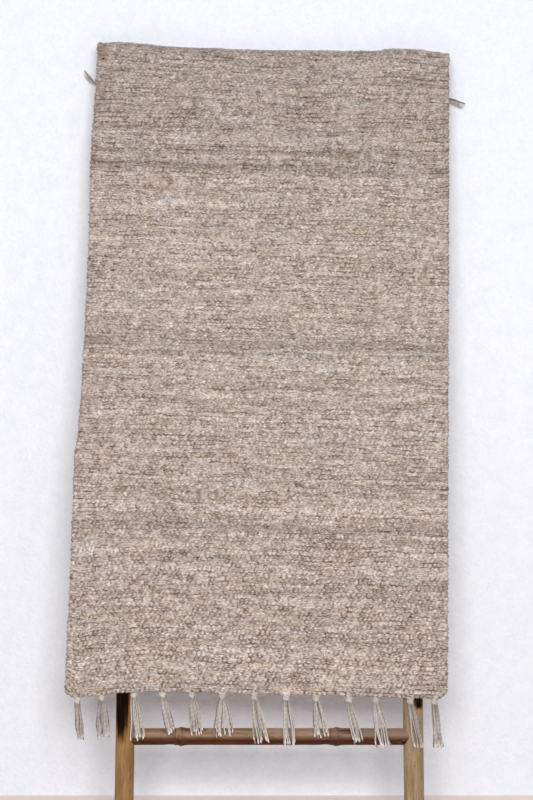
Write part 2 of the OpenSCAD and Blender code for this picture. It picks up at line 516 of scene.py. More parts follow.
def cotton():
    """Twisted cotton, grey along its length and cream at the tips, with painted shade in the grooves between its
    plies, near the knot and on the threads that lie behind.
    """
    s = Shader("tassel_cotton")
    along, ply, thread = s.attribute("thread")
    # Low thread tones are painted shade on threads that lie behind the others.
    colour = s.ramp(s.add(s.times(thread, 0.80), s.times(s.noise(s.position(), 160.0, 2.0), 0.20)), [
        (0.05, (0.215, 0.175, 0.155)),
        (0.45, (0.430, 0.380, 0.350)),
        (0.95, (0.700, 0.650, 0.610)),
    ])
    # Painted shade in the grooves between the plies, and in the bundle near the knot.
    colour = s.shade(colour, s.spread(ply, 0.0, 0.75, 0.58, 1.0))
    colour = s.shade(colour, s.spread(along, 0.02, 0.30, 0.66, 1.0, "SMOOTHSTEP"))
    tip = s.times(s.spread(along, 0.88, 0.97, 0.0, 0.85, "SMOOTHSTEP"), s.spread(thread, 0.20, 0.50))
    colour = s.mix(tip, colour, (0.82, 0.76, 0.70))
    s.bump(s.noise(s.position(), 900.0, 3.0, 0.7), 0.0005, 0.7)
    return s.set(Base_Color=colour, Roughness=0.92, Sheen_Weight=0.2, Sheen_Roughness=0.6,
                 Specular_IOR_Level=0.2)


# Each bamboo's skin, dark and light fibres, roughness, specular level.
BAMBOO = {
    "left_bamboo": ((0.290, 0.165, 0.070), (0.170, 0.088, 0.034), (0.380, 0.225, 0.100), 0.46, 0.06),
    "right_bamboo": ((0.320, 0.225, 0.130), (0.215, 0.135, 0.066), (0.400, 0.295, 0.185), 0.46, 0.06),
    "rung_bamboo": ((0.285, 0.172, 0.100), (0.150, 0.076, 0.034), (0.375, 0.268, 0.185), 0.34, 0.20),
}
# Scorching, outside first: its start, where it is full, cover, colour.
SCORCH = [
    (0.14, 0.50, 0.90, (0.150, 0.055, 0.016)),
    (0.40, 0.72, 0.85, (0.030, 0.010, 0.005)),
    (0.62, 0.92, 0.98, (0.004, 0.0015, 0.001)),
]


def cane_noise(s, cane, across, along, detail=3.0, rough=0.6):
    """Noise drawn out along a cane, scaled across and along."""
    x, y, z = cane
    return s.noise(s.vector(s.times(x, across), s.times(y, across), s.times(z, along)), 1.0, detail, rough)


def rung_segment_and_shade(s, cane, blotch, colour):
    """A rung's duller right segment, and painted shade on its underside."""
    _, y, z = cane
    colour = s.mix(s.spread(z, 0.090, 0.125, 0.0, 0.50), colour, (0.200, 0.135, 0.105))
    # Painted shade on the rung's underside.
    under = s.spread(s.add(y, s.swing(blotch, 0.014)), -0.006, 0.0065)
    return s.mix(under, colour, s.tint(colour, (0.24, 0.100, 0.030)))


def bamboo(slot):
    """Bamboo skin: fibres, blotches, scorching from the mesh, and on a rung painted shade underneath."""
    skin, dark, light, gloss, shine = BAMBOO[slot]
    s = Shader(f"{slot}_skin")
    s.material["slot"] = slot
    cane = s.attribute("cane")
    burn, joint, tone = s.attribute("skin")
    fibres = cane_noise(s, cane, 420.0, 7.0, 4.0, 0.65)
    blotch = cane_noise(s, cane, 60.0, 14.0)
    speck = cane_noise(s, cane, 190.0, 75.0)
    scar = cane_noise(s, cane, 110.0, 22.0, 2.0, 0.5)
    mixed = s.add(s.times(fibres, 0.5), s.times(blotch, 0.5))
    colour = s.shade(s.ramp(mixed, [(0.37, dark), (0.50, skin), (0.62, light)]), tone)
    colour = s.mix(s.spread(speck, 0.58, 0.72, 0.0, 0.6), colour, tuple(c * 0.5 for c in dark))
    colour = s.mix(s.spread(scar, 0.66, 0.74, 0.0, 0.55), colour, tuple(c * 1.45 for c in light))
    if slot == "rung_bamboo":
        colour = rung_segment_and_shade(s, cane, blotch, colour)
    uneven = s.add(s.add(s.times(fibres, 0.7), s.times(blotch, 0.9)), -0.80)
    edge = s.add(burn, s.times(uneven, 1.75))
    for start, full, cover, char in SCORCH:
        colour = s.mix(s.spread(edge, start, full, 0.0, cover, "SMOOTHSTEP"), colour, char)
    colour = s.mix(s.times(joint, 0.65), colour, (0.07, 0.032, 0.015))
    s.bump(s.add(s.times(fibres, 0.8), s.times(speck, 0.3)), 0.0006, 0.5)
    rough = s.add(s.spread(fibres, 0.3, 0.7, gloss, gloss + 0.16), s.times(burn, 0.25))
    return s.set(Base_Color=colour, Roughness=rough, Specular_IOR_Level=shine)


def peg_bamboo():
    """Split bamboo, end on: pale, with dark fibre ends."""
    s = Shader("peg_bamboo")
    dots = s.noise(s.position(), 1500.0, 2.0, 0.6)
    colour = s.ramp(dots, [
        (0.35, (0.15, 0.09, 0.045)),
        (0.55, (0.30, 0.20, 0.11)),
        (0.80, (0.40, 0.29, 0.17)),
    ])
    s.bump(dots, 0.0004, 0.6)
    return s.set(Base_Color=colour, Roughness=0.7)


def plaster():
    """White rendered wall, seen from its front only."""
    s = Shader("white_plaster")
    place = s.position()
    fine = s.noise(place, 150.0, 3.0, 0.6)
    lumps = s.add(s.times(s.noise(place, 34.0, 3.0, 0.55), 0.5), s.times(fine, 0.55))
    colour = s.ramp(lumps, [(0.36, (0.800, 0.835, 0.905)), (0.64, (0.855, 0.885, 0.955))])
    s.bump(lumps, 0.006, 0.85)
    clear = s.node("BsdfTransparent", "BSDF")
    back = s.node("NewGeometry", "Backfacing")
    choose = s.node("MixShader", "Shader", enumerate((back, s.bsdf.outputs["BSDF"], clear)))
    s.put(s.output.inputs["Surface"], choose)
    return s.set(Base_Color=colour, Roughness=0.9, Specular_IOR_Level=0.1)


def pale_floor():
    """Plain warm floor, very slightly uneven."""
    s = Shader("pale_floor")
    place = s.position()
    colour = s.ramp(s.noise(place, 3.0, 3.0), [(0.3, (0.69, 0.575, 0.53)), (0.7, (0.75, 0.635, 0.59))])
    s.bump(s.noise(place, 90.0), 0.001, 0.2)
    return s.set(Base_Color=colour, Roughness=0.75, Specular_IOR_Level=0.2)


# ---- cloth

def cloth_path(v, bend=BEND_MID_R):
    """The cloth's middle at length v from the lower edge: y', z', heading and bends."""
    spare = BEND_MID_R - bend
    spare_back = spare * math.tan(math.pi / 4 - LEAN / 2)
    marks = np.cumsum([0, FRONT_LONG + CORNER + spare, bend * math.pi / 2, 2 * CORNER + spare + spare_back,
                       bend * (math.pi / 2 - LEAN), FLAP_LONG + spare_back])
    headings = [0, 0, math.pi / 2, math.pi / 2, math.pi - LEAN, math.pi - LEAN]
    fine = np.linspace(0, marks[-1], 8001)
    heading = np.interp(fine, marks, headings)
    step = fine[1]
    y = -(CLOTH_FACE - THICK / 2) + np.concatenate([[0], np.cumsum(np.sin(heading[:-1]))]) * step
    z = -FRONT_LONG + np.concatenate([[0], np.cumsum(np.cos(heading[:-1]))]) * step
    return np.interp(v, fine, y), np.interp(v, fine, z), np.interp(v, fine, heading), marks


# At a stitch's four marks: gap beside, line below, slope.
GAP_FALL = np.array([1.0, 0.32, 0.0, 0.32])
ROW_FALL = np.array([1.0, 0.10, 0.0, 0.16])
LEAN_FALL = np.array([0, 0.5, 0, -0.5])


def weave_relief(rng, side):
    """Height of the stitches from 0 to 1: bumps in brick order, no two alike."""
    i = np.arange(WARPS * ACROSS + 1)
    j = np.arange(ROWS * ALONG + 1)
    row = np.minimum(j // ALONG, ROWS - 1)[:, None]
    m = (j % ALONG)[:, None]
    stitches = (ROWS, WARPS + 2)
    upper = smoothstep(np.arange(ROWS) / ROWS, 0.02, 0.45)[:, None]
    height = rng.uniform(0.66, 1.0, stitches) * rng.uniform(0.86, 1.06, (ROWS, 1))
    beside = rng.uniform(0.06, 0.60, stitches) * (1.30 - 0.55 * upper)
    dashes = smooth_field(rng, stitches, (ROWS, 16))
    below = 0.08 + 0.74 * rng.uniform(0, 1, stitches) ** 2 + (0.32 + 0.14 * upper) * dashes
    below = np.clip(below, 0.03, 0.95)
    split = np.clip(rng.uniform(-0.30, 0.42, stitches), 0, 1)
    lean = rng.uniform(-0.2, 0.2, stitches)

    def stitch(at_row):
        shifted = i[None, :] + (((at_row + side) % 2) * (ACROSS // 2))
        column = shifted // ACROSS
        k = shifted % ACROSS
        gap = beside[at_row, column] * GAP_FALL[k] + lean[at_row, column] * LEAN_FALL[k]
        return gap, height[at_row, column], below[at_row, column], split[at_row, column]

    gap, tall, under, notch = stitch(row)
    gap_below, tall_below, _, _ = stitch(np.maximum(row - 1, 0))
    gap = np.where(m == 0, (gap + gap_below) / 2, gap)
    tall = np.where(m == 0, np.minimum(tall, tall_below), tall)
    relief = (1 - gap - under * ROW_FALL[m] - notch * (m == 2)) * tall
    return np.clip(relief + rng.uniform(-0.16, 0.16, relief.shape), 0.0, 1.0)


def brick_wave(shape):
    """Each stitch bulges down between the two below it."""
    mark = np.arange(shape[0])[:, None]
    k = np.arange(shape[1]) + (mark // ALONG % 2) * (ACROSS // 2)
    share = np.array([-1.0, -0.5, 0.0, 0.5])[mark % ALONG]
    return 0.0012 * share * np.cos(2 * math.pi * (k / ACROSS - 0.5))


def lower_edge(x):
    """How far the lower edge hangs: the left corner has stretched."""
    drop = 0.015 * (np.maximum(0, -x - 0.190) / 0.140) ** 1.5
    left = np.clip(1 - (x + HALF_LOW) / 0.024, 0, 1)
    right = np.clip(1 - (HALF_LOW - x) / 0.016, 0, 1)
    return drop - 0.0115 * left ** 1.5 - 0.0150 * right ** 1.8


def knot_places(end):
    """Where the knots of one end sit, in the cloth's frame."""
    names = [f"{end}_tassel_{i:02d}_swing" for i in range(1, TASSELS + 1)]
    return CLOTH.into([JOINTS[n]["pos_m"] for n in names])


def scallops(x, end):
    """The edge is drawn out at each knot and arches between them."""
    nearest = np.min(np.abs(x[:, None] - knot_places(end)[:, 0]), axis=1)
    return 0.0014 * hump(nearest, 0.006) - 0.0007 * smoothstep(nearest, 0.006, 0.020)


# Length from the lower edge, and the left edge's inward bow there in mm.
LEFT_BOW = [(0.0, -1.0), (0.05, -1.5), (0.25, -1.6), (0.34, -3.6), (0.445, -4.6), (0.475, 0.4),
            (0.52, 2.0), (0.65, 3.5), (0.83, 3.5), (1.02, -1.3), (1.20, 2.5), (1.36, 0.0)]


def left_bow(v):
    """The left edge wavers. Positive is inwards."""
    places, inwards = zip(*LEFT_BOW)
    fine = np.linspace(0, CLOTH_LONG, 400)
    rough = np.interp(fine, places, inwards)
    kernel = np.hanning(25)
    rough = np.convolve(np.pad(rough, 12, "edge"), kernel / kernel.sum(), "valid")
    return np.interp(v, fine, rough) / 1000


def crowd_ends(marks):
    """The marks, with the outer ones moved out to round the rim."""
    places = marks.copy()
    first = places[1] - places[0]
    for n, share in ((1, 0.62), (2, 0.35)):
        places[n] -= share * first
        places[-n - 1] += share * first
    return places


class Weave:
    """The cloth's grid: v is the length from its lower edge, span is -1 to 1 across."""

    def __init__(self, rng):
        self.rng = rng
        self.u_mark = np.arange(WARPS * ACROSS + 1) / ACROSS
        self.v_mark = np.arange(ROWS * ALONG + 1) / ALONG
        self.shape = (len(self.v_mark), len(self.u_mark))
        bounds = np.concatenate([[0], np.cumsum(rng.uniform(0.78, 1.22, ROWS))])
        self.marks = cloth_path(0.0)[3]
        self.total = self.marks[-1]
        bounds = bounds / bounds[-1] * self.total
        self.v = np.interp(crowd_ends(self.v_mark), np.arange(ROWS + 1), bounds)[:, None]
        self.span = (crowd_ends(self.u_mark) / WARPS * 2 - 1) * np.ones(self.shape)
        self.inside = 1 - np.abs(self.span) ** 8
        self.ends = smoothstep(self.v, 0, 0.02) * smoothstep(self.total - self.v, 0, 0.02)

    def field(self, *cells):
        return smooth_field(self.rng, self.shape, cells)


def across_places(w):
    """Places across: narrower upwards, with straying columns."""
    x = w.span * np.interp(w.v, [0, FRONT_LONG, w.total], [HALF_LOW, HALF_TOP, HALF_TOP])
    x += left_bow(w.v) * np.clip((0.2 - w.span) / 1.2, 0, 1) ** 2
    x += 0.0012 * w.field(90, 26) * w.inside
    x += 0.0024 * w.field(ROWS, 48) * w.inside
    return x + 0.0005 * w.field(2 * ROWS, 2 * WARPS) * w.inside


def row_waves(w):
    """How far the rows stray up and down."""
    wave = 0.0024 * w.field(46, 14) + 0.0014 * w.field(150, 40) + 0.0005 * w.field(2 * ROWS, 2 * WARPS)
    return wave * w.ends


def edge_turns(w):
    """Bumps of the weft's turns on the side edges."""
    mark = np.arange(w.shape[0])[:, None]
    row = mark // ALONG
    turn = np.array([-0.0008, 0.0003, 0.0006, 0.0003])[mark % ALONG]
    turn = turn * w.rng.uniform(0.5, 1.9, ROWS + 1)[row]
    turn += 0.0010 * w.rng.uniform(-1, 1, ROWS + 1)[row]
    return turn * np.sign(w.span) * smoothstep(np.abs(w.span), 0.985, 1.0)


def drape(w, beside):
    """The cloth's middle: tight over rung and poles, rounder elsewhere."""
    rounder = 1 - smoothstep(beside, 0.200, 0.244) + 0.7 * smoothstep(beside, 0.290, 0.325)
    fixed = FRONT_LONG - 0.05
    round_total = cloth_path(0.0, ROUND_BEND_R)[3][-1]
    longer = fixed + (w.v - fixed) * (round_total - fixed) / (w.total - fixed)
    v_round = np.where(w.v > fixed, longer, w.v)
    return [tight + (loose - tight) * rounder
            for tight, loose in zip(cloth_path(w.v)[:3], cloth_path(v_round, ROUND_BEND_R)[:3])]


def bulges(w, beside):
    """How far the cloth stands out: sag, waves, creases and the flap."""
    below_fold = w.marks[1] - w.v
    sag = -0.0026 * np.clip(1 - (beside / 0.235) ** 2, 0, 1)
    sag -= 0.0016 * smoothstep(beside, 0.295, 0.36)
    wave = 0.0009 * (1 + w.field(22, 7))
    wave += 0.0005 * (1 + w.field(60, 18))
    crease = sum(0.0021 * (1 - hump(w.v - place, 0.0065)) * hump(w.v - place, 0.030) for place in CREASES)
    flap = 0.0016 * (1 + w.field(6, 9)) * smoothstep(w.v, w.marks[4] + 0.01, w.total - 0.01)
    return sag * smoothstep(below_fold, 0.0, 0.10) + wave * smoothstep(below_fold, 0.0, 0.05) + crease + flap


def slips(w, x, row_wave):
    """Moves up the cloth: uneven ends and wavering rows."""
    drop = lower_edge(x[0])
    stretch = np.maximum(drop, 0)
    edge = drop - stretch + scallops(x[0], "front")
    slip = -edge * (1 - smoothstep(w.v, 0.0, 0.016)) - stretch * (1 - smoothstep(w.v, 0.0, 0.35))
    back = scallops(x[-1], "back")
    slip += back * smoothstep(w.v, w.total - 0.04, w.total)
    slip += row_wave + brick_wave(w.shape) * w.ends * w.inside
    columns = np.arange(w.shape[1])
    bumps = np.array([0.0, 0.75, 1.0, 0.75])[columns % ACROSS]
    bumps = bumps * w.rng.uniform(0.4, 1.3, WARPS + 1)[columns // ACROSS]
    return slip - 0.0015 * bumps * (1 - smoothstep(w.v, 0.0, 0.005))


def crest_heights(w, x):
    """The fold's top line dips between the poles and drops at the right."""
    crest = -0.0048 * np.clip(1 - ((x + 0.04) / 0.27) ** 2, 0, 1)
    crest += 0.0012 * smoothstep(-x, 0.24, 0.34) - 0.0030 * smoothstep(x, 0.285, 0.345)
    crest += 0.0006 * w.field(2, 24)
    rise = smoothstep(w.v, w.marks[1] - 0.10, w.marks[1])
    return crest * (rise * (1 - smoothstep(w.v, w.marks[4], w.total)))


def rim_shapes(w, x):
    """Thickness towards the rim, and the furrow along the sides."""
    from_side = np.minimum(x - x[:, :1], x[:, -1:] - x)
    rim = np.minimum(from_side, np.minimum(w.v, w.total - w.v))
    body = np.sqrt(np.clip(1 - (1 - np.clip(rim / 0.0042, 0, 1)) ** 2, 0, 1))
    return body, 1 - 0.55 * hump(from_side - 0.0105, 0.0024)


def cloth_points():
    """Points of the cloth's two faces, with their marks."""
    w = Weave(np.random.default_rng(SEED))
    x = across_places(w)
    row_wave = row_waves(w)
    x += edge_turns(w)
    beside = np.abs(CLOTH_ASIDE + x + cloth_path(w.v)[1] * math.sin(CLOTH_TILT))
    y_mid, z_mid, heading = drape(w, beside)
    shift = bulges(w, beside)
    slip = slips(w, x, row_wave)
    crest = crest_heights(w, x)
    body, selvedge = rim_shapes(w, x)
    sin, cos = np.sin(heading), np.cos(heading)
    u_marks, v_marks = np.meshgrid(w.u_mark, w.v_mark)
    faces = []
    for side in (0, 1):
        relief = weave_relief(w.rng, side)
        if side == 0:
            offset = (0.0010 + 0.0035 * relief) * body * selvedge + shift
        else:
            offset = -(0.0014 + 0.0026 * relief) * body + shift
        y = y_mid - cos * offset + sin * slip
        z = z_mid + sin * offset + cos * slip + crest
        point = CLOTH.out(np.stack([x, y, z], axis=-1))
        # The third stitch mark is the stitch's height, which the wool turns into painted pit shade and crown
        # highlight.
        stitch = np.stack([u_marks, v_marks, relief * (0.35 + 0.65 * body)], axis=-1)
        place = np.stack([x, w.v * np.ones(w.shape), np.full(w.shape, float(side))], axis=-1)
        faces.append([grid.reshape(-1, 3) for grid in (point, stitch, place)])
    return faces, w.shape


def build_cloth(material):
    """The cloth as one closed mesh."""
    (outer, inner), (rows, columns) = cloth_points()
    keep = np.zeros((rows, columns), bool)
    keep[1:-1, 1:-1] = True
    keep = keep.ravel()
    lookup = np.where(keep, np.cumsum(keep) - 1 + rows * columns, np.arange(rows * columns))
    quads = grid_faces(rows, columns)
    faces = np.concatenate([quads, lookup[quads][:, ::-1]])
    points, stitch, place = [np.concatenate([a, b[keep]]) for a, b in zip(outer, inner)]
    return mesh_object("woven_cloth", points, faces, material, {"stitch": stitch, "place": place})


# ---- fringe

# Width of each front tassel at its tips, in millimetres.
FRONT_SPREAD = [13, 26, 24, 17, 26, 44, 32, 23, 27, 20, 28, 22, 19]
SPLIT_TASSEL = 6  # its threads hang in two bunches


def node_axis(node, place):
    """Direction and length from a knot to its CAD node's far end."""
    points = np.array([vertex.co for vertex in frame["nodes"][node].data.vertices])
    away = np.linalg.norm(points - place, axis=1)
    far = points[away > away.max() - 0.0006].mean(axis=0)
    return unit(far - place), float(np.linalg.norm(far - place))


def knot(parts, rng, place, side, up, front, width):
    """An overhand knot: a thick closed loop with three crossings."""
    t = np.linspace(0, 2 * math.pi, 61)[:-1]
    flat_a = np.sin(t) + 2 * np.sin(2 * t)
    flat_b = np.cos(t) - 2 * np.cos(2 * t)
    turn = rng.uniform(-0.5, 0.5)
    cos, sin = math.cos(turn), math.sin(turn)
    scale = width / 13.0
    a = (flat_a * cos - flat_b * sin) * scale * 1.06
    b = (flat_a * sin + flat_b * cos) * scale * 0.86
    c = -1.7 * np.sin(3 * t) * scale
    path = place + a[:, None] * side + b[:, None] * up + c[:, None] * front
    tone = rng.uniform(0.70, 1.0)
    tube(parts, path, width * 0.205, 15, tone, lobes=5, depth=0.13, twist=260.0, closed=True)
    core = place + np.linspace(-0.42, 0.40, 6)[:, None] * width * up
    tube(parts, core, width * 0.20, 10, rng.uniform(0.5, 0.8), lobes=5, depth=0.1, twist=200.0)


def thread_path(rng, axes, length, across, depth, bend, droop):
    """One slightly waved thread; across and depth are at its knot and its tip."""
    place, down, side, front = axes
    t = np.linspace(0, 1, 25)
    first = rng.uniform(0, 2 * math.pi)
    wave = 0.0018 * np.sin(t * rng.uniform(4, 9) + first) * t
    arch = 1 - (1 - t) ** rng.uniform(1.0, 2.1)
    aside = across[0] + (across[1] - across[0]) * arch + wave + bend * t * t
    out = depth[0] + (depth[1] - depth[0]) * smoothstep(t, 0.0, 0.75)
    out = out + 0.0006 * np.sin(t * 5 + first * 2) * t
    run = 0.0015 + (length - 0.0015) * t
    path = place + run[:, None] * down + aside[:, None] * side + out[:, None] * front
    path[:, 2] -= droop * t * t
    return path


def tip_flare(rng):
    """Radius along a thread: thinner at the knot, frayed at the tip."""
    t = np.linspace(0, 1, 25)
    radius = THREAD_R * rng.uniform(0.88, 1.12) * (0.88 + 0.12 * smoothstep(t, 0, 0.15))
    radius = radius * (1 + 0.16 * smoothstep(t, 0.90, 0.97))
    radius[-1] *= 0.66
    return radius


def thread_depth(end, number, stray, layer):
    """How far out a thread lies, at its knot and its tip."""
    if stray:
        return layer * 0.8, layer * 0.8
    if end == "back" or number in BESIDE_POLE:
        return layer, layer * 1.3
    return layer, layer - (BEFORE_POLE if number == TASSELS - 1 else FORWARD)


def tip_place(rng, end, number, share, spread):
    """How far a thread's tip lies to the side of the knot."""
    tip = share * (spread - 2 * THREAD_R) + rng.uniform(-0.0012, 0.0012)
    if end == "front" and number == SPLIT_TASSEL:
        return tip * 0.62 - 0.005 if share < 0.2 else 0.013 + (share - 0.35) * 0.022
    return tip


def curl(path, k):
    """The left stray tassel's threads sink, ripple and lean left."""
    t = np.linspace(0, 1, len(path))
    path[:, 2] += 0.0034 * np.sin(t * 13 + 0.4 * k) * t - 0.026 * smoothstep(t, 0.0, 0.50)
    path -= 0.010 * (t * t)[:, None] * LADDER.axes[0]


def build_tassel(end, number, material, rng):
    """A knot and its threads, in the place of one CAD tassel."""
    node = f"{end}_tassel_{number:02d}"
    place = np.array(JOINTS[node + "_swing"]["pos_m"])
    down, length = node_axis(node, place)
    stray = end == "back" and number in (1, TASSELS)
    curled = stray and number == 1
    across = LADDER.axes[2] if stray else CLOTH.axes[0]
    side = unit(across - down * (across @ down))
    front = np.cross(side, down)
    if front @ LADDER.axes[1] > 0:
        front = -front
    parts = Parts()
    width = 0.0088 if stray else 0.0142 * rng.uniform(0.93, 1.07)
    knot(parts, rng, place, side, -down, front, width)
    count = (5 if curled else 7) if stray else int(rng.integers(10, 13))
    spread = (0.007 if curled else 0.011) if stray else 0.018
    if end == "front":
        spread = FRONT_SPREAD[number - 1] / 1000
    for k in range(count):
        share = k / (count - 1) - 0.5
        share = np.clip(share + rng.uniform(-0.13, 0.13), -0.5, 0.5)
        tip = tip_place(rng, end, number, share, spread)
        start = share * (0.006 if stray else 0.0095)
        depth = thread_depth(end, number, stray, (k % 3 - 1) * 0.0017)
        extra = rng.uniform(-0.012, 0.001) if stray else rng.uniform(-0.0095, 0.0015)
        bend = 0.010 if curled else 0.0
        droop = 0.012 + 0.004 * share if stray and not curled else 0.0
        path = thread_path(rng, (place, down, side, front), length + extra, (start, tip), depth, bend, droop)
        if curled:
            curl(path, k)
        # Threads that lie behind the others get a dark tone: painted shade.
        shaded_behind = k % 3 == (0 if end == "front" else 2)
        tone = rng.uniform(0.0, 0.30) if shaded_behind else rng.uniform(0.45, 1.0)
        tone = tone * 0.80 if number in (1, 2, TASSELS - 1, TASSELS) else tone
        tube(parts, path, tip_flare(rng), 8, tone, lobes=2, depth=0.14, twist=750.0)
    piece = parts.build(f"{node}_threads", material, "thread")
    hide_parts(node)
    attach(piece, node)
    return piece


# Where warp ends leave the cloth's edge beside their knot.
WARP_OFFSETS = (-0.0085, -0.0062, -0.0040, -0.0018, 0.0004, 0.0026, 0.0048, 0.0070, 0.0090)


def build_warp_ends(end, body, material, rng):
    """The warp ends, drawn together from the edge to each knot."""
    parts = Parts()
    t = np.linspace(0, 1, 9)
    pull = (1 - t) ** 1.15
    fall = (KNOT_TO_EDGE + 0.0040) * (1 - smoothstep(t, 0.0, 0.62))
    mid = -(CLOTH_FACE - THICK / 2) - 0.0004
    for x, y, z in knot_places(end):
        for offset in WARP_OFFSETS:
            reach = offset * rng.uniform(0.9, 1.1)
            if end == "front":
                path = [x + reach * pull, mid + (y - mid) * t, z + fall + 0.0012 * t]
                path = CLOTH.out(np.stack(path, axis=-1))
            else:
                tip, root = CLOTH.out([[x, y, z], [x + reach, y, z]])
                path = root * pull[:, None] + tip * (1 - pull)[:, None]
                path[:, 2] += fall
            tube(parts, path, THREAD_R * 0.85, 6, rng.uniform(0.3, 0.98), lobes=2, depth=0.12, twist=700.0)
    piece = parts.build(f"{end}_warp_ends", material, "thread")
    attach(piece, body)
    return piece


# ---- bamboo

def joint_profile(away):
    """Height and darkness of a joint, by distance from its scar."""
    height = 0.0009 * hump(away, 0.0014) - 0.0005 * hump(away - 0.0034, 0.0018)
    height += 0.0021 * hump(away - 0.0105, 0.0065) - 0.0009 * hump(away + 0.010, 0.008)
    dark = hump(away + 0.0004, 0.0013) + 0.7 * hump(away - 0.0125, 0.0018)
    return height, np.clip(dark, 0, 1)


def cane_levels(low, high, rings):
    """Places along a cane, closer at its joints and its ends."""
    z = [np.arange(low, high, 0.005), [low, low + 0.0012, high - 0.0012, high]]
    z = np.unique(np.concatenate(z + [ring + np.linspace(-0.016, 0.022, 32) for ring in rings]))
    z = z[(z >= low) & (z <= high)]
    z = z[np.concatenate([[True], np.diff(z) > 0.0004])]
    z[-1] = high
    return z[:, None]


def cane_radius(rng, z, angle, radius, height):
    """Radius over a cane: slightly oval, lumpy, with joints and eased ends."""
    oval = 0.010 * np.cos(2 * (angle - rng.uniform(0, 6) - z * 0.8))
    lump_count = max(3, int((z[-1, 0] - z[0, 0]) / 0.09))
    lumps = 0.008 * smooth_field(rng, (len(z), len(angle)), (lump_count, 6))
    lumps[:, -1] = lumps[:, 0]
    r = radius * (0.992 + oval * 0.6 + lumps * np.cos(angle / 2) ** 2) + height
    r[[0, -1]] *= 0.965
    return r


def scorch(z, angle, burns):
    """Burns on a cane: place, reach, direction, angular reach, strength."""
    burn = np.zeros((len(z), len(angle)))
    for place, reach, towards, width, strength in burns:
        turn = np.abs((angle - towards + math.pi) % (2 * math.pi) - math.pi)
        away = ((np.abs(z - place) / reach) ** 3 + (turn / width) ** 3) ** (1 / 3)
        burn = np.maximum(burn, strength * (1 - smoothstep(away, 0.50, 1.0)))
    return burn


def cane(node, to_place, radius, low, high, rings, material, seed, burns, pole=False):
    """A cane along its frame's z. A pole has a level foot and a hollow top."""
    rng = np.random.default_rng(SEED + seed)
    z = cane_levels(low, high, rings)
    angle = np.arange(CANE_SIDES) * 2 * math.pi / CANE_SIDES
    heights, darks = zip(*[joint_profile(z - ring) for ring in rings])
    r = cane_radius(rng, z, angle, radius, sum(heights))
    bow_x = 0.0006 * np.sin(z * 5.1 + rng.uniform(0, 6))
    y = r * np.sin(angle)
    whole = np.ones(r.shape)
    along = z + y * math.tan(LEAN) * np.clip(1 - z / 0.03, 0, 1) if pole else z * whole
    points = [np.stack([r * np.cos(angle) + bow_x, y, along], axis=-1)]
    skin = [np.stack([scorch(z, angle, burns), np.max(darks, axis=0) * whole, whole], axis=-1)]
    inner_r = radius - POLE_WALL
    hollow = [(inner_r, high), (inner_r, high - POLE_HOLLOW), (PITH_R, high - POLE_HOLLOW)]
    cuts = (hollow if pole else [(PITH_R, high)]) + [(PITH_R, low)]
    circle = np.stack([np.cos(angle), np.sin(angle), 0 * angle], axis=-1)
    for cut_r, level in cuts:
        points.append(cut_r * circle + [0, 0, level])
        skin.append(np.tile(CUT_SKIN, (CANE_SIDES, 1)))
    points, skin = [np.concatenate([p.reshape(-1, 3) for p in pieces]) for pieces in (points, skin)]
    faces = [grid_faces(len(z), CANE_SIDES, wrap=True)]
    starts = [(len(z) - 1 + k) * CANE_SIDES for k in range(len(cuts) + 1)]
    first = np.arange(CANE_SIDES)
    for a, b in list(zip(starts, starts[1:-1])) + [(starts[-1], 0)]:
        faces.append(ring_quads(first + a, first + b))
    attributes = {"cane": points, "skin": skin}
    piece = mesh_object(f"{node}_cane", to_place.out(points), np.concatenate(faces), material, attributes)
    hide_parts(node)
    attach(piece, "ladder")


def pole_burns(side, heights):
    """Scorch marks of a pole, from the lowest rung upwards."""
    if side < 0:
        return [(heights[0] + 0.064, 0.090, VIEWER - 0.36, 1.05, 0.98),
                (heights[2], 0.055, VIEWER + 1.5, 1.0, 0.62),
                (heights[1] - 0.02, 0.05, VIEWER + 2.6, 1.1, 0.55)]
    return [(heights[0] + 0.0615, 0.019, VIEWER + 0.55, 1.05, 0.60),
            (heights[0] + 0.0560, 0.0068, VIEWER + 0.55, 0.34, 1.0),
            (heights[3] - 0.01, 0.07, VIEWER + 2.7, 1.3, 0.62)]


def rung_burns(rings, half):
    """Scorch marks of a rung, at its joints and its ends."""
    up = math.pi * 1.5
    return [(rings[0] - 0.018, 0.014, up + 0.5, 0.8, 0.42),
            (rings[0] + 0.032, 0.034, up + 0.4, 0.9, 0.46),
            (-half + 0.022, 0.022, math.pi / 2 + 0.3, 2.0, 0.75),
            (half - 0.02, 0.018, math.pi / 2, 1.6, 0.6),
            (rings[1] + 0.03, 0.030, up + 0.6, 0.8, 0.55)]


def build_pole(side, name, heights):
    """One pole, jointed between the rungs. Returns its place across."""
    low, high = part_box(name)
    x = LADDER.into([[(low[0] + high[0]) / 2, 0, 0]])[0][0]
    top = (high[2] - POLE_R * math.sin(LEAN)) / math.cos(LEAN)
    rings = [(a + b) / 2 + 0.014 * side for a, b in zip(heights, heights[1:])]
    place = Local(LADDER.out([x, 0, 0]), *LADDER.axes)
    radius, slot = (LEFT_POLE_R, "left_bamboo") if side < 0 else (POLE_R, "right_bamboo")
    burns = pole_burns(side, heights)
    cane(name, place, radius, 0.0, top, rings, bamboo(slot), 10 + side, burns, pole=True)
    return x


def build_rung(i, centre, material):
    """Rung i, in a frame of x out of the front, y down, z along it."""
    low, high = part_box(f"rung_{i}")
    half = (high[0] - low[0]) / 2
    rings = [-0.173, 0.114] if i % 2 else [-0.114, 0.173]
    drop = LOWEST_RUNG_DROP if i == 1 else 0.0
    across, back, up = LADDER.axes
    place = Local(LADDER.out(centre - [0, 0, drop]), -back, -up, across)
    cane(f"rung_{i}", place, RUNG_R, -half, half, rings, material, 20 + i, rung_burns(rings, half))


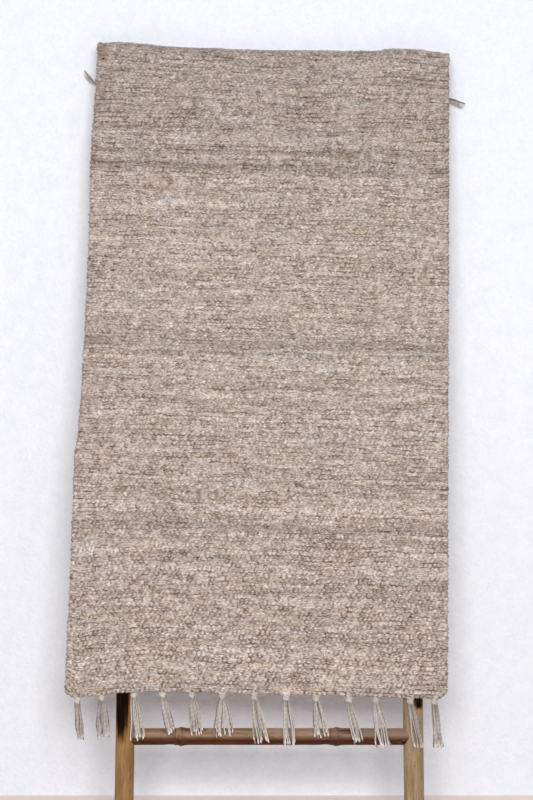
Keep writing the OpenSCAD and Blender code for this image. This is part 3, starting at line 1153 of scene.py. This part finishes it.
def build_ladder():
    """Two poles, five rungs and the pegs' heads."""
    boxes = [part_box(f"rung_{i}") for i in range(1, RUNGS + 1)]
    rungs = LADDER.into([(np.array(low) + np.array(high)) / 2 for low, high in boxes])
    heights = list(rungs[:, 2])
    poles = [build_pole(-1, "left_pole", heights), build_pole(1, "right_pole", heights)]
    material = bamboo("rung_bamboo")
    for i, centre in enumerate(rungs, start=1):
        build_rung(i, centre, material)
    build_pegs(poles, heights)


# A peg's head: how far behind the pole's middle, and radius.
PEG_PROFILE = np.array([(0.0120, 0.0002), (0.0120, 0.0029), (POLE_R + 0.0004, 0.0029),
                        (POLE_R + 0.0009, 0.0024), (POLE_R + 0.0010, 0.0002)])
PEG_SIDES = 14


def build_pegs(poles, heights):
    """The pegs' heads, just proud of each pole's back."""
    parts = Parts()
    rng = np.random.default_rng(SEED + 60)
    angle = np.arange(PEG_SIDES) * 2 * math.pi / PEG_SIDES
    back = PEG_PROFILE[:, :1] * np.ones((1, PEG_SIDES))
    for height in heights:
        for x in poles:
            r = PEG_PROFILE[:, 1:] * (1 + 0.05 * rng.uniform(-1, 1, PEG_SIDES))[None, :]
            points = np.stack([x + r * np.cos(angle), back, height + r * np.sin(angle)], axis=-1)
            points = LADDER.out(points.reshape(-1, 3))
            faces = grid_faces(len(PEG_PROFILE), PEG_SIDES, wrap=True)[:, ::-1]
            parts.add(points, faces, np.zeros(points.shape))
    piece = parts.build("rung_peg_heads", peg_bamboo(), "peg")
    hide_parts("rung_pegs")
    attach(piece, "ladder")


# ---- stage

def plane(name, points, material):
    """One flat quad of the stage."""
    obj = mesh_object(name, points, [[0, 1, 2, 3]], material, {})
    return obj


def area_light(name, place, target, size, power, colour):
    """A rectangular lamp that faces a target."""
    data = bpy.data.lights.new(name, "AREA")
    data.shape = "RECTANGLE"
    data.size, data.size_y = size
    data.energy = power
    data.color = colour
    obj = bpy.data.objects.new(name, data)
    bpy.context.scene.collection.objects.link(obj)
    obj.location = place
    aim = np.array(target, float) - np.array(place, float)
    flat = math.hypot(aim[0], aim[1])
    obj.rotation_euler = (math.atan2(flat, -aim[2]), 0, math.atan2(-aim[0], aim[1]))


def build_room():
    """Pale floor, and a white wall just behind the ladder."""
    plane("floor", [(-4, -5, 0), (4, -5, 0), (4, 3, 0), (-4, 3, 0)], pale_floor())
    corners = [(-4, WALL_Y, 0), (4, WALL_Y, 0), (4, WALL_Y, WALL_HIGH), (-4, WALL_Y, WALL_HIGH)]
    wall = plane("wall", corners, plaster())
    wall.visible_shadow = False


def build_lights():
    """A soft key in front, a little sky, and a lamp for views from behind."""
    area_light("key", (0.05, -3.7, 1.68), (0, 0, 0.40), (2.0, 1.1), 126, (1.0, 0.998, 0.985))
    area_light("sky", (-0.2, -1.9, 3.2), (0, 0, 0.2), (2.6, 1.4), 4, (1.0, 0.995, 0.99))
    area_light("behind", (0.4, 3.2, 2.4), (0, 0, 0.75), (2.6, 2.2), 58, (1.0, 0.99, 0.97))
    world = bpy.data.worlds.new("soft_room")
    world.use_nodes = True
    background = world.node_tree.nodes["Background"]
    background.inputs["Color"].default_value = (0.90, 0.94, 1.0, 1.0)
    background.inputs["Strength"].default_value = 0.22
    bpy.context.scene.world = world
    bpy.context.scene.view_settings.view_transform = "Standard"


def build_camera():
    """A level camera in front of the tapestry."""
    camera = bpy.data.objects.new("camera", bpy.data.cameras.new("camera"))
    bpy.context.scene.collection.objects.link(camera)
    camera.data.lens = 79.8
    camera.data.sensor_width = 36
    camera.location = (-0.0104, -3.38, 0.7852)
    camera.rotation_euler = (math.pi / 2, 0, 0)
    bpy.context.scene.camera = camera


# ---- assembly

def build_tapestry():
    """The cloth with its fringes."""
    rng = np.random.default_rng(SEED + 1)
    cotton_threads = cotton()
    cloth = build_cloth(wool())
    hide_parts("front_panel", "top_fold", "back_flap")
    # The bend runs forwards and down; two points on it are worked out here and not used.
    tuple(CLOTH.out([[0, -0.0242, 0.010]])[0])
    tuple(CLOTH.out([[0, -0.0610, -0.0140]])[0])
    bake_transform(cloth)
    fringe = [build_warp_ends("front", "front", cotton_threads, rng),
              build_warp_ends("back", "draped_fold", cotton_threads, rng)]
    for number in range(1, TASSELS + 1):
        fringe.append(build_tassel("front", number, cotton_threads, rng))
    for number in range(1, TASSELS + 1):
        build_tassel("back", number, cotton_threads, rng)


def main():
    """The stage, the ladder and the tapestry on it."""
    build_room()
    build_lights()
    build_camera()
    build_ladder()
    build_tapestry()


main()
